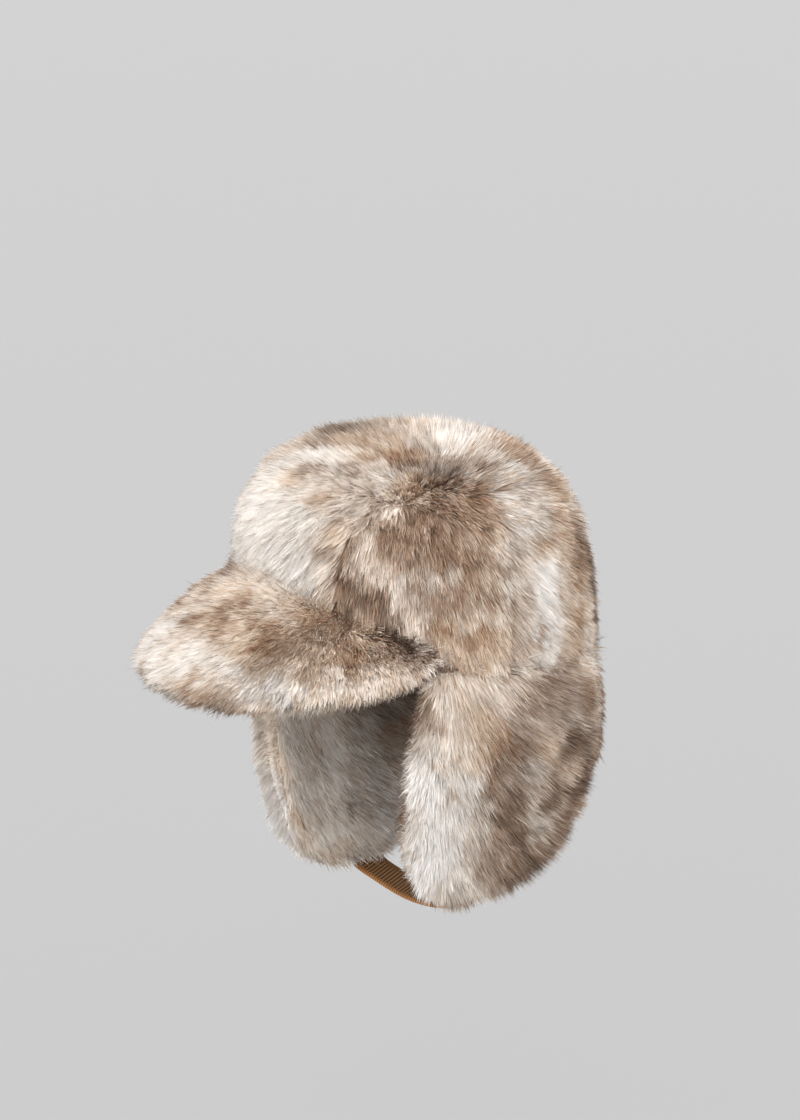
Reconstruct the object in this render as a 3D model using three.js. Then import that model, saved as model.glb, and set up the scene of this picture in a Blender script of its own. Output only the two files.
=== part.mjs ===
// A fur aviator hat: a six-gore crown, a peak, two ear flaps, a neck flap and a chin strap.
// Millimetres. +Z is up, the peak points to -Y and the wearer's left is +X.
// The origin is the top of the head's hollow, where the head carries the hat.
import * as THREE from "three";

// The head's hollow at the band, and how deep the crown is from its top to its hem
const HEAD_HALF_WIDTH = 81;
const HEAD_HALF_LENGTH = 99;
const CROWN_DEPTH_FRONT = 66;
const CROWN_DEPTH_SIDE = 108;
const CROWN_DEPTH_BACK = 137;

// The crown's profile: 2 is a round dome, more is a flatter top with a squarer shoulder
const SQUARENESS_FRONT = 4;
const SQUARENESS_SIDE = 3;
const SQUARENESS_BACK = 2.5;
const WHORL_LEFTWARD = 29; // the gores meet this far left of the middle, as the soft top leans over
const WHORL_BACKWARD = 1;
const WHORL_DENT = 4; // and the cloth is drawn in this far where they meet
const WHORL_DENT_SHARPNESS = 8;
const TOP_LEAN = 13; // the top sags this much over the left ear and rises as much over the right

// Cloth and fur thicknesses, counted outwards from the head's hollow
const LINING_THICK = 2.6;
const LAYER_GAP = 0.8;
const INNER_FUR_GAP = 1.2;
const PELT_THICK = 2.4;
const PELT_INSIDE = LINING_THICK + LAYER_GAP;
const PELT_OUTSIDE = PELT_INSIDE + PELT_THICK;
const SEAM_GAP = 0.8; // between two pelts that meet at a seam
const PELT_RAISE_FRONT = 9; // the gores' pelts end this far above the crown's hem over the peak
const PELT_RAISE_TEMPLE = 14;
const PELT_RAISE_BACK = 2;

// Ear flaps and neck flap
const EAR_FRONT_ANGLE = 63; // degrees round from the peak, at the flap's front edge
const EAR_BACK_ANGLE = 134;
const FLAP_BOTTOM_LEFT = -253; // the soft right flap hangs a little lower
const FLAP_BOTTOM_RIGHT = -276;
const FLAP_BOTTOM_BACK = -188;
const EAR_FRONT_CORNER_LEFT = { height: 42, angle: 26 }; // mm, and the degrees that the corner takes
const EAR_FRONT_CORNER_RIGHT = { height: 68, angle: 34 };
const EAR_BACK_CORNER = { height: 84, angle: 50 };
const CHIN_TUCK = 0.22; // share by which the flaps close in under the jaw
const CHIN_TUCK_SHARPNESS = 2.5;
const NAPE_TUCK = 0.16;
const HEAD_SQUARENESS = 2; // the band is an ellipse
const FLAP_SQUARENESS = 2.8; // and the flaps hang flatter at the sides than it does

// Peak
const PEAK_HALF_WIDTH = 93;
const PEAK_REACH = 178; // from the head's middle to the front edge
const PEAK_SQUARENESS = 2.3;
const PEAK_ROOT_ANGLE = 58;
const PEAK_EDGE_ANGLE = 76;
const PEAK_EDGE_HEIGHT = -113;
const PEAK_END_LIFT = 13; // the edge curves up by this much into the temples
const PEAK_END_SHARPNESS = 5;
const PEAK_BOARD_THICK = 3;
const PEAK_ROOT_CLEAR = 1.2; // between the gores' backing and the board
const PEAK_CROWNING = 6; // how far the board bulges upwards

// Chin strap
const STRAP_WIDTH = 24;
const STRAP_THICK = 2.2;
const STRAP_MIDDLE_Y = 8;
const STRAP_LOWEST = -289;
const STRAP_STRAIGHT = 6; // it hangs straight this far before it turns in
const STRAP_START_BOW = 1.5;
const STRAP_KNEE = { out: 0.62, down: 0.68 }; // shares of the way from the middle and from the top
const CLASP_LENGTH = 9;
const CLASP_WALL = 1.6;
const CLASP_PLACE_X = 57;
const CLASP_SEARCH_STEPS = 200;

const COLOURS = {
  fur: 0xcfc0b2,
  furDark: 0xa58d7b,
  lining: 0x5d4636,
  strap: 0x8a5c36,
  clasp: 0x3b2a1e,
};

const radians = THREE.MathUtils.degToRad;
const lerp = THREE.MathUtils.lerp;
const smooth = THREE.MathUtils.smoothstep;
const vector = (x, y, z) => new THREE.Vector3(x, y, z);
const signedPower = (value, power) => Math.sign(value) * Math.abs(value) ** power;
const range = (count) => Array.from({ length: count }, (_, i) => i);
const steps = (from, to, count) => range(count + 1).map((i) => lerp(from, to, i / count));

// Depth of the crown's hem, by the angle round from the peak in degrees
function hemDepth(angle) {
  const c = Math.cos(radians(angle));
  const towardsFront = Math.max(0, c) ** 2;
  const towardsBack = ((1 - c) / 2) ** 3;
  return -lerp(CROWN_DEPTH_SIDE, CROWN_DEPTH_FRONT, towardsFront) -
    (CROWN_DEPTH_BACK - CROWN_DEPTH_SIDE) * towardsBack;
}

// How square the crown's profile is, by the angle round from the peak
function squareness(angle) {
  const c = Math.cos(radians(angle));
  return lerp(SQUARENESS_SIDE, c > 0 ? SQUARENESS_FRONT : SQUARENESS_BACK, Math.abs(c));
}

// The crown's inner face. down runs from 0 at the whorl to 1 at the hem.
function crownFace(angle, down) {
  const a = radians(angle);
  const turn = (down * Math.PI) / 2;
  const power = squareness(angle);
  const s = Math.sin(turn);
  const c = Math.max(0, Math.cos(turn));
  const stretch = (s ** power + c ** power) ** (1 / power);
  const ring = s / stretch;
  const height = c / stretch;
  const towardsMiddle = 1 - ring * ring;
  const x = HEAD_HALF_WIDTH * ring * Math.sin(a) + WHORL_LEFTWARD * towardsMiddle;
  const y = -HEAD_HALF_LENGTH * ring * Math.cos(a) + WHORL_BACKWARD * towardsMiddle;
  const lean = (TOP_LEAN * height * x) / HEAD_HALF_WIDTH;
  const dent = WHORL_DENT * towardsMiddle ** WHORL_DENT_SHARPNESS;
  return vector(x, y, hemDepth(angle) * (1 - height) - lean - dent);
}

// A rounded corner's rise above the straight edge. inward is how far past the corner's end, in degrees.
function cornerRise(corner, inward) {
  const share = THREE.MathUtils.clamp(1 - inward / corner.angle, 0, 1);
  return corner.height * (1 - Math.sqrt(1 - share * share));
}

// The lowest level of the left ear flap for a positive side, and of the right one for a negative
const lowestOf = (side) => (side > 0 ? FLAP_BOTTOM_LEFT : FLAP_BOTTOM_RIGHT);

// Depth of the flaps' lower edge: deep over the ears with rounded corners, short over the nape
function flapBottom(angle) {
  const a = angle > 180 ? 360 - angle : Math.abs(angle);
  if (a >= EAR_BACK_ANGLE) return FLAP_BOTTOM_BACK;
  const frontCorner = angle > 0 ? EAR_FRONT_CORNER_LEFT : EAR_FRONT_CORNER_RIGHT;
  return lowestOf(angle) + cornerRise(frontCorner, a - EAR_FRONT_ANGLE) +
    cornerRise(EAR_BACK_CORNER, EAR_BACK_ANGLE - a);
}

// The flaps' inner face. down runs from 0 at the crown's hem to 1 at the flaps' lower edge.
function flapFace(angle, down) {
  const a = radians(angle);
  const z = lerp(hemDepth(angle), flapBottom(angle), down);
  const depth = THREE.MathUtils.clamp(
    (z + CROWN_DEPTH_SIDE) / (FLAP_BOTTOM_LEFT + CROWN_DEPTH_SIDE), 0, 1);
  const flatness = 2 / lerp(HEAD_SQUARENESS, FLAP_SQUARENESS, smooth(depth, 0, 0.5));
  const narrow = 1 - CHIN_TUCK * depth ** CHIN_TUCK_SHARPNESS;
  const shorten = Math.cos(a) < 0 ? 1 - NAPE_TUCK * depth : 1;
  return vector(
    HEAD_HALF_WIDTH * narrow * signedPower(Math.sin(a), flatness),
    -HEAD_HALF_LENGTH * shorten * signedPower(Math.cos(a), flatness),
    z,
  );
}

// The peak board's upper face. across runs from -1 to 1, temple to temple, and out from 0 to 1 at the edge.
function peakFace(across, out) {
  const root = crownFace(across * PEAK_ROOT_ANGLE, 1);
  const outward = vector(root.x, root.y, 0).normalize();
  root.addScaledVector(outward, PELT_OUTSIDE + PEAK_ROOT_CLEAR);
  root.z += PEAK_BOARD_THICK;
  const edgeAngle = radians(across * PEAK_EDGE_ANGLE);
  const edge = vector(
    PEAK_HALF_WIDTH * signedPower(Math.sin(edgeAngle), 2 / PEAK_SQUARENESS),
    -PEAK_REACH * Math.cos(edgeAngle) ** (2 / PEAK_SQUARENESS),
    PEAK_EDGE_HEIGHT + PEAK_END_LIFT * Math.abs(across) ** PEAK_END_SHARPNESS,
  );
  const point = root.lerp(edge, out);
  point.z += PEAK_CROWNING * 4 * out * (1 - out) * (1 - across * across);
  return point;
}

const STEP = 1e-3;

// The direction in which a face's second number grows, which is the way that its hair lies
function flowOf(face, u, v) {
  const v0 = Math.max(v - STEP, 0);
  const v1 = Math.min(v + STEP, 1);
  return face(u, v1).sub(face(u, v0)).normalize();
}

// A face's outward normal
function normalOf(face, u, v) {
  const alongU = face(u + STEP, v).sub(face(u - STEP, v));
  return flowOf(face, u, v).cross(alongU).normalize();
}

// The numbered corners of a mesh's triangles
class TriangleList {
  corners = [];

  triangle(a, b, c, flip = false) {
    this.corners.push(...(flip ? [a, c, b] : [a, b, c]));
  }

  quad(a, b, c, d) {
    this.triangle(a, b, c);
    this.triangle(a, c, d);
  }
}

// A closed mesh, with its triangles turned round if their volume comes out negative
function orientedOutwards(points, corners) {
  const triples = range(corners.length / 3).map((i) => corners.slice(3 * i, 3 * i + 3));
  const volumeOf = (triple) => {
    const [a, b, c] = triple.map((k) => points[k]);
    return a.dot(b.clone().cross(c));
  };
  const insideOut = triples.reduce((sum, triple) => sum + volumeOf(triple), 0) < 0;
  const geometry = new THREE.BufferGeometry();
  const numbers = points.flatMap((p) => p.toArray());
  geometry.setAttribute("position", new THREE.Float32BufferAttribute(numbers, 3));
  geometry.setIndex(insideOut ? triples.flatMap(([a, b, c]) => [a, c, b]) : corners);
  geometry.computeVertexNormals();
  return geometry;
}

// A wall between two offsets of a face, over a grid of columns and rows
function wall(face, columns, rows, near, far) {
  const layerAt = (offset) => rows.flatMap((v) =>
    columns.map((u) => face(u, v).addScaledVector(normalOf(face, u, v), offset)));
  const points = [...layerAt(near), ...layerAt(far)];
  const wide = columns.length;
  const layer = wide * rows.length;
  const last = layer - wide;
  const mesh = new TriangleList();
  for (const j of range(rows.length - 1).map((row) => row * wide)) {
    for (const i of range(wide - 1)) {
      const k = j + i;
      mesh.quad(k, k + wide, k + wide + 1, k + 1);
      mesh.quad(layer + k, layer + k + 1, layer + k + wide + 1, layer + k + wide);
    }
    const right = j + wide - 1;
    mesh.quad(j, layer + j, layer + j + wide, j + wide);
    mesh.quad(right, right + wide, layer + right + wide, layer + right);
  }
  for (const i of range(wide - 1)) {
    mesh.quad(i, i + 1, layer + i + 1, layer + i);
    mesh.quad(last + i, layer + last + i, layer + last + i + 1, last + i + 1);
  }
  return orientedOutwards(points, mesh.corners);
}

// A pelt: a backing with rows of pointed locks fused to it, laid like roof tiles along the hair's flow.
// Each row of locks has a root, a swelling and a tip that leans over the next row.
const LOCK_PROFILE = [
  { along: 0, height: 0.42, leans: 0, valley: 0.8 },
  { along: 0.45, height: 0.86, leans: 0, valley: 0.72 },
  { along: 0.86, height: 1, leans: 1, valley: 0.55 },
];
const PELT_END = { height: 0.3, leans: 0.25, valley: 0.8 };
const PELT_EDGE_SHARE = 0.6; // the fur's height at a pelt's two sides
const SWAY = 0.18; // how much the locks differ in length

function pelt(face, { locks, lockRows, inside, thick, pile, lean, rise = () => 1 }) {
  const columns = steps(-1, 1, locks * 2);
  const ranks = range(lockRows).flatMap((row) =>
    LOCK_PROFILE.map((rank) => ({ ...rank, v: (row + rank.along) / lockRows })));
  ranks.push({ ...PELT_END, v: 1 });
  const lockPoint = (u, i, rank, j) => {
    const atEdge = i === 0 || i === columns.length - 1;
    const valley = rank.valley * (atEdge ? PELT_EDGE_SHARE : 1);
    const size = (i % 2 === 1 ? 1 : valley) * (1 + SWAY * Math.sin(7 * i + 11 * j)) * rise(rank.v);
    return face(u, rank.v)
      .addScaledVector(normalOf(face, u, rank.v), inside + thick + pile * rank.height * size)
      .addScaledVector(flowOf(face, u, rank.v), lean * rank.leans * size);
  };
  const outer = ranks.map((rank, j) => columns.map((u, i) => lockPoint(u, i, rank, j)));
  const inner = steps(0, 1, lockRows).map((v) =>
    columns.map((u) => face(u, v).addScaledVector(normalOf(face, u, v), inside)));

  const wide = columns.length;
  const perRow = LOCK_PROFILE.length;
  const lastRank = outer.length - 1;
  const outerAt = (j, i) => j * wide + i;
  const innerAt = (j, i) => outer.length * wide + j * wide + i;
  const mesh = new TriangleList();
  for (const i of range(wide - 1)) {
    for (const j of range(lastRank)) {
      mesh.quad(outerAt(j, i), outerAt(j, i + 1), outerAt(j + 1, i + 1), outerAt(j + 1, i));
    }
    for (const j of range(lockRows)) {
      mesh.quad(innerAt(j, i), innerAt(j + 1, i), innerAt(j + 1, i + 1), innerAt(j, i + 1));
    }
    mesh.quad(outerAt(0, i), innerAt(0, i), innerAt(0, i + 1), outerAt(0, i + 1));
    mesh.quad(outerAt(lastRank, i), outerAt(lastRank, i + 1),
      innerAt(lockRows, i + 1), innerAt(lockRows, i));
  }
  for (const j of range(lockRows)) {
    for (const [i, flip] of [[0, false], [wide - 1, true]]) {
      for (const k of range(perRow)) {
        mesh.triangle(innerAt(j, i), outerAt(perRow * j + k, i), outerAt(perRow * j + k + 1, i), flip);
      }
      mesh.triangle(innerAt(j, i), outerAt(perRow * (j + 1), i), innerAt(j + 1, i), flip);
    }
  }
  return orientedOutwards([...outer.flat(), ...inner.flat()], mesh.corners);
}

function named(name, geometry, colour, roughness = 0.95) {
  const material = new THREE.MeshStandardMaterial({ color: colour, roughness, metalness: 0 });
  const mesh = new THREE.Mesh(geometry, material);
  mesh.name = name;
  return mesh;
}

// Pelts whose hair is short at the start and full from here on, as a share of the pelt's length
const risingFrom = (least, full) => (v) => lerp(least, 1, smooth(v, 0, full));

// Crown: six gores round one whorl, with the front gore facing forwards
const GORES = [
  { name: "crown_gore_front", middle: 0, colour: COLOURS.fur },
  { name: "crown_gore_left_front", middle: 60, colour: COLOURS.furDark },
  { name: "crown_gore_left_back", middle: 120, colour: COLOURS.fur },
  { name: "crown_gore_back", middle: 180, colour: COLOURS.furDark },
  { name: "crown_gore_right_back", middle: 240, colour: COLOURS.fur },
  { name: "crown_gore_right_front", middle: 300, colour: COLOURS.furDark },
];
const GORE_HALF_ANGLE = 30;
const GORE_START = 0.06; // share of the way from the whorl to the hem
const GORE_LOCK_ROWS = 7;
const PAST_PEAK = { from: 3, to: 18 }; // degrees past the peak's root, where the gores' lower ends drop
const LINING_COLUMNS = 30;

// How far down the crown a gore's pelt has come, at a share of its length. It ends higher over the peak.
function goreDown(angle, along) {
  const fromFront = Math.abs(((angle + 180) % 360) - 180);
  const pastPeak = smooth(fromFront, PEAK_ROOT_ANGLE + PAST_PEAK.from, PEAK_ROOT_ANGLE + PAST_PEAK.to);
  const overPeak = lerp(PELT_RAISE_FRONT, PELT_RAISE_TEMPLE, smooth(fromFront, 0, PEAK_ROOT_ANGLE));
  const raise = lerp(overPeak, PELT_RAISE_BACK, pastPeak);
  return lerp(GORE_START, 1 + raise / ((hemDepth(angle) * Math.PI) / 2), along);
}

// A gore's face, which stops short of both seams and of the crown's hem
const goreFace = (middle) => (across, along) => {
  const about = middle + across * GORE_HALF_ANGLE;
  const down = goreDown(about, along);
  const radius = Math.hypot(crownFace(about, down).x, crownFace(about, down).y);
  const seam = THREE.MathUtils.radToDeg(SEAM_GAP / 2 / Math.max(radius, SEAM_GAP * 4));
  return crownFace(middle + across * (GORE_HALF_ANGLE - seam), down);
};

function crownGore({ name, middle, colour }) {
  const locks = { locks: 5, lockRows: GORE_LOCK_ROWS, pile: 13.5, lean: 5, rise: risingFrom(0.35, 0.3) };
  const backing = { inside: PELT_INSIDE, thick: PELT_THICK };
  return named(name, pelt(goreFace(middle), { ...locks, ...backing }), colour);
}

// The lining is one cup: an inner and an outer dome joined at the hem, each closed at the whorl by a fan
function crownLining() {
  const columns = range(LINING_COLUMNS).map((i) => (360 * i) / LINING_COLUMNS);
  const rows = steps(0, 1, GORE_LOCK_ROWS).map((share) => (angle) => goreDown(angle, share));
  rows.push(() => 1);
  const offsetPoint = (u, v, offset) => crownFace(u, v).addScaledVector(normalOf(crownFace, u, v), offset);
  const dome = (offset) => rows.flatMap((row) => columns.map((u) => offsetPoint(u, row(u), offset)));
  const top = crownFace(0, 0);
  const points = [...dome(0), ...dome(LINING_THICK), top, top.clone().setZ(top.z + LINING_THICK)];
  const wide = columns.length;
  const layer = wide * rows.length;
  const hem = layer - wide;
  const mesh = new TriangleList();
  for (const i of range(wide)) {
    const j = (i + 1) % wide;
    mesh.triangle(2 * layer, i, j);
    mesh.triangle(2 * layer + 1, layer + j, layer + i);
    for (const k of range(rows.length - 1).map((row) => row * wide)) {
      mesh.quad(k + i, k + wide + i, k + wide + j, k + j);
      mesh.quad(layer + k + i, layer + k + j, layer + k + wide + j, layer + k + wide + i);
    }
    mesh.quad(hem + i, layer + hem + i, layer + hem + j, hem + j);
  }
  return named("crown_lining", orientedOutwards(points, mesh.corners), COLOURS.lining, 0.6);
}

// A flap's face between two angles. It starts below the crown's hem, and can start lower by the peak's end.
const flapStrip = (from, to, { top = SEAM_GAP, underPeak = top } = {}) => (across, along) => {
  const angle = lerp(from, to, (across + 1) / 2);
  const pastPeak = smooth(Math.abs(angle), PEAK_ROOT_ANGLE, PEAK_ROOT_ANGLE + 20);
  const start = lerp(underPeak, top, pastPeak) / (hemDepth(angle) - flapBottom(angle));
  return flapFace(angle, lerp(start, 1, along));
};

// The other side of a face, so that a pelt on it grows towards the head
const turnedOver = (face) => (across, along) => face(-across, along);

const FLAP_PELT = { inside: PELT_INSIDE, thick: PELT_THICK, lean: 8, rise: risingFrom(0.3, 0.16) };
const INNER_PELT = { inside: INNER_FUR_GAP, thick: 2, pile: 8, lean: 6, rise: risingFrom(0.3, 0.2) };
const INNER_FUR_TOP = 14; // the inner fur starts this far below the crown's hem
const OUTER_FUR_UNDER_PEAK = 12; // and the outer fur this far where it passes the peak's end
const SEAM_ANGLE = THREE.MathUtils.radToDeg(SEAM_GAP / 2 / HEAD_HALF_WIDTH);

function earFlap(side, mirror) {
  const edges = [EAR_FRONT_ANGLE, EAR_BACK_ANGLE - SEAM_ANGLE].map((angle) => angle * mirror);
  if (mirror < 0) edges.reverse();
  const face = flapStrip(...edges);
  const outerFace = flapStrip(...edges, { underPeak: OUTER_FUR_UNDER_PEAK });
  const innerFace = turnedOver(flapStrip(...edges, { top: INNER_FUR_TOP }));
  const wallGrid = [steps(-1, 1, 10), steps(0, 1, 7)];
  return [
    named(`ear_flap_${side}_wall`, wall(face, ...wallGrid, 0, LINING_THICK), COLOURS.lining, 0.6),
    named(`ear_flap_${side}_fur`,
      pelt(outerFace, { ...FLAP_PELT, locks: 6, lockRows: 8, pile: 12 }), COLOURS.fur),
    named(`ear_flap_${side}_inner_fur`,
      pelt(innerFace, { ...INNER_PELT, locks: 5, lockRows: 6 }), COLOURS.furDark),
  ];
}

function neckFlap() {
  const face = flapStrip(EAR_BACK_ANGLE + SEAM_ANGLE, 360 - EAR_BACK_ANGLE - SEAM_ANGLE);
  return [
    named("neck_flap_wall",
      wall(face, steps(-1, 1, 14), steps(0, 1, 3), 0, LINING_THICK), COLOURS.lining, 0.6),
    named("neck_flap_fur", pelt(face, { ...FLAP_PELT, locks: 9, lockRows: 3, pile: 10 }), COLOURS.furDark),
  ];
}

// Peak: a covered board, and the pelt over it
function peak() {
  const locks = 10;
  const lockRows = 5;
  const board = wall(peakFace, steps(-1, 1, 2 * locks), steps(0, 1, lockRows), -PEAK_BOARD_THICK, 0);
  const fur = { locks, lockRows, inside: LAYER_GAP, thick: PELT_THICK, pile: 11, lean: 6 };
  return [
    named("peak_board", board, COLOURS.lining, 0.6),
    named("peak_fur", pelt(peakFace, { ...fur, rise: risingFrom(0.2, 0.4) }), COLOURS.fur),
  ];
}

// Chin strap: a band whose middle line hangs from one ear flap's lower edge to the other's
function strapLine() {
  const halfLine = (mirror) => {
    const hang = flapFace(90 * mirror, 1);
    const x = hang.x + (mirror * LINING_THICK) / 2;
    const z = lowestOf(mirror) - LAYER_GAP - STRAP_STRAIGHT;
    return [
      vector(x, STRAP_MIDDLE_Y, z + STRAP_STRAIGHT),
      vector(x - mirror * STRAP_START_BOW, STRAP_MIDDLE_Y, z),
      vector(x * STRAP_KNEE.out, STRAP_MIDDLE_Y, lerp(z, STRAP_LOWEST, STRAP_KNEE.down)),
    ];
  };
  const middle = vector(0, STRAP_MIDDLE_Y, STRAP_LOWEST);
  return new THREE.CatmullRomCurve3([...halfLine(1), middle, ...halfLine(-1).reverse()]);
}

// The strap's middle, its direction and its upper side at a share of its length
function strapFrame(share) {
  const line = strapLine();
  const along = line.getTangentAt(share);
  return { at: line.getPointAt(share), along, up: vector(-along.z, 0, along.x).normalize() };
}

const STRAP_STEPS = 28;
const EDGE_SEARCH_ANGLES = steps(70, 120, 200);
const STRAP_END_GAP = 1.6; // the walls' edges are straight between their columns

// How far above its lowest level a flap's lower edge is, at a place along the head
function edgeRise(mirror, y) {
  const angle = EDGE_SEARCH_ANGLES.find((a) => flapFace(a * mirror, 1).y > y);
  return Math.max(0, flapBottom(angle * mirror) - lowestOf(mirror) - STRAP_END_GAP);
}

// The strap's two ends are cut to follow the flaps' lower edges
function chinStrap() {
  const corners = [[-1, -1], [1, -1], [1, 1], [-1, 1]];
  const points = steps(0, 1, STRAP_STEPS).flatMap((share, step) => {
    const { at, up } = strapFrame(share);
    const isEnd = step === 0 || step === STRAP_STEPS;
    return corners.map(([wide, high]) => {
      const y = (wide * STRAP_WIDTH) / 2;
      const rise = isEnd ? edgeRise(Math.sign(at.x), at.y + y) : 0;
      return at.clone().addScaledVector(up, (high * STRAP_THICK) / 2).add(vector(0, y, rise));
    });
  });
  const mesh = new TriangleList();
  mesh.quad(0, 1, 2, 3);
  for (const i of range(STRAP_STEPS)) {
    for (const k of range(4)) {
      const a = 4 * i + k;
      const b = 4 * i + ((k + 1) % 4);
      mesh.quad(a, a + 4, b + 4, b);
    }
  }
  const last = 4 * STRAP_STEPS;
  mesh.quad(last, last + 3, last + 2, last + 1);
  return named("chin_strap", orientedOutwards(points, mesh.corners), COLOURS.strap, 0.85);
}

// The clasp is a plain sleeve round the strap
function clasp() {
  const halfWide = STRAP_WIDTH / 2 + LAYER_GAP;
  const halfHigh = STRAP_THICK / 2 + LAYER_GAP;
  const outline = (w, h) => [[-w, -h], [w, -h], [w, h], [-w, h]].map((p) => new THREE.Vector2(...p));
  const shape = new THREE.Shape(outline(halfWide + CLASP_WALL, halfHigh + CLASP_WALL));
  shape.holes.push(new THREE.Path(outline(halfWide, halfHigh).reverse()));
  const geometry = new THREE.ExtrudeGeometry(shape, { depth: CLASP_LENGTH, bevelEnabled: false });
  geometry.translate(0, 0, -CLASP_LENGTH / 2);
  const share = steps(0, 0.5, CLASP_SEARCH_STEPS).find((s) => strapFrame(s).at.x < CLASP_PLACE_X);
  const { at, up } = strapFrame(share);
  const across = vector(0, 1, 0);
  const mesh = named("strap_clasp", geometry, COLOURS.clasp, 0.4);
  mesh.setRotationFromMatrix(new THREE.Matrix4().makeBasis(across, up, across.clone().cross(up)));
  mesh.position.copy(at);
  return mesh;
}

const hat = new THREE.Group();
hat.add(crownLining(), ...GORES.map(crownGore));
hat.add(...earFlap("left", 1), ...earFlap("right", -1), ...neckFlap());
hat.add(...peak(), chinStrap(), clasp());

export default hat;
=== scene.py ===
# %% [markdown]
# A deep-fur aviator hat
#
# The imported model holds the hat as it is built: a cloth cup, six gores, a peak, three flaps and a strap.
# This lesson dresses that model. Deep fur is nearly the whole look of the hat, so most cells are about hair.
# Each pelt gets a soft underfur body, and then tens of thousands of thin tapered blades rooted in it.
# Hair curves could do this too, but blades are plain mesh, so every renderer and file format keeps them.

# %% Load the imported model
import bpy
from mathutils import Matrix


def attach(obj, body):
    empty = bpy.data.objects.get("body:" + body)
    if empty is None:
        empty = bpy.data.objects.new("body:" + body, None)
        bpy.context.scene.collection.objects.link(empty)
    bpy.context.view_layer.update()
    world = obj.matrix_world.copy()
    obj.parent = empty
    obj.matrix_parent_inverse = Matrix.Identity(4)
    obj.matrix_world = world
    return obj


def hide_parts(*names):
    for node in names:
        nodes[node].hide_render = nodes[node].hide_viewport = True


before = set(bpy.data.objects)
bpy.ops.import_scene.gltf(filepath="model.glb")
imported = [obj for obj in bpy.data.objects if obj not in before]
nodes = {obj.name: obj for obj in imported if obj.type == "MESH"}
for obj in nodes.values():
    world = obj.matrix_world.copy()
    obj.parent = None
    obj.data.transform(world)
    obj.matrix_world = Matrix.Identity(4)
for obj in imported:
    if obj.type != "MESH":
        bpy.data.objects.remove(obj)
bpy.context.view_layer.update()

# %% Numbers and colours
import math

import bpy
import numpy as np
from mathutils import Vector
from mathutils.bvhtree import BVHTree
from mathutils.kdtree import KDTree

MM = 0.001


def srgb(hex_colour):
    """An sRGB hex colour as linear red, green, blue and alpha."""
    parts = [int(hex_colour[i:i + 2], 16) / 255 for i in (1, 3, 5)]
    linear = [p / 12.92 if p <= 0.04045 else ((p + 0.055) / 1.055) ** 2.4 for p in parts]
    return (*linear, 1.0)


def unit(vectors):
    """Vectors scaled to length one, along the last axis."""
    size = np.linalg.norm(vectors, axis=-1, keepdims=True)
    return vectors / np.maximum(size, 1e-9)


# %% [markdown]
# The camera comes early, because the marks in the fur are placed by looking through it.
# It stands at the wearer's front left, a little above, and it is a long lens from three metres away,
# so that the near and the far flap come out at nearly the same scale.
# The hat is worn in the air, so the floor lies well below it and only gives the pale ground.

# %% The camera at the photograph's angle
PHOTO_WIDTH = 800
PHOTO_HEIGHT = 1120
CAMERA_AZIMUTH = math.radians(53)
CAMERA_ELEVATION = math.radians(18)
CAMERA_DISTANCE = 3.0
PIXELS_PER_METRE = 1645
LOOK_AT = np.array([0.0, 0.0, -0.100])
LOOK_PIXEL_X = 416
LOOK_PIXEL_Y = 610
SENSOR_HEIGHT = 36.0
FARTHEST_SEEN = 50

toward_camera = np.array([
    math.sin(CAMERA_AZIMUTH) * math.cos(CAMERA_ELEVATION),
    -math.cos(CAMERA_AZIMUTH) * math.cos(CAMERA_ELEVATION),
    math.sin(CAMERA_ELEVATION),
])
camera_right = np.array([math.cos(CAMERA_AZIMUTH), math.sin(CAMERA_AZIMUTH), 0.0])
camera_up = np.cross(toward_camera, camera_right)
aim = LOOK_AT + camera_right * (PHOTO_WIDTH / 2 - LOOK_PIXEL_X) / PIXELS_PER_METRE
aim = aim + camera_up * (LOOK_PIXEL_Y - PHOTO_HEIGHT / 2) / PIXELS_PER_METRE
camera_place = aim + toward_camera * CAMERA_DISTANCE

bpy.ops.object.select_all(action="DESELECT")
bpy.ops.object.camera_add(location=camera_place)
camera = bpy.context.object
camera.name = "camera"
camera.rotation_euler = Vector(toward_camera).to_track_quat("Z", "Y").to_euler()
camera.data.sensor_width = SENSOR_HEIGHT
camera.data.lens = SENSOR_HEIGHT * CAMERA_DISTANCE * PIXELS_PER_METRE / PHOTO_HEIGHT
camera.data.clip_end = FARTHEST_SEEN
bpy.context.scene.camera = camera
print("lens", round(camera.data.lens, 1), "mm")


def pixel_direction(x, y):
    """The direction from the camera through a pixel of the photograph."""
    across = (x - PHOTO_WIDTH / 2) / PIXELS_PER_METRE
    up = (PHOTO_HEIGHT / 2 - y) / PIXELS_PER_METRE
    return Vector(aim + camera_right * across + camera_up * up - camera_place).normalized()


# %% [markdown]
# One small function adds any node with its settings and links. A constant goes straight on its socket.

# %% Material tools
def add_node(material, kind, settings=None, inputs=None):
    """Adds a node. An input given as a socket is linked, and any other value is set."""
    node = material.node_tree.nodes.new(kind)
    for name, value in (settings or {}).items():
        setattr(node, name, value)
    for name, value in (inputs or {}).items():
        if isinstance(value, bpy.types.NodeSocket):
            material.node_tree.links.new(value, node.inputs[name])
        else:
            node.inputs[name].default_value = value
    return node


def ramp_through(node, stops):
    """Sets a colour ramp node to (place, hex colour) stops, and returns its colour."""
    elements = node.color_ramp.elements
    while len(elements) < len(stops):
        elements.new(0.5)
    for element, (place, colour) in zip(elements, stops):
        element.position = place
        element.color = srgb(colour)
    return node.outputs["Color"]


def new_material(name, **constants):
    """A node material, with the shader's constants given by socket name with _ for a space."""
    material = bpy.data.materials.new(name)
    material.use_nodes = True
    shader = material.node_tree.nodes["Principled BSDF"]
    for socket, value in constants.items():
        shader.inputs[socket.replace("_", " ")].default_value = value
    return material, shader


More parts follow.
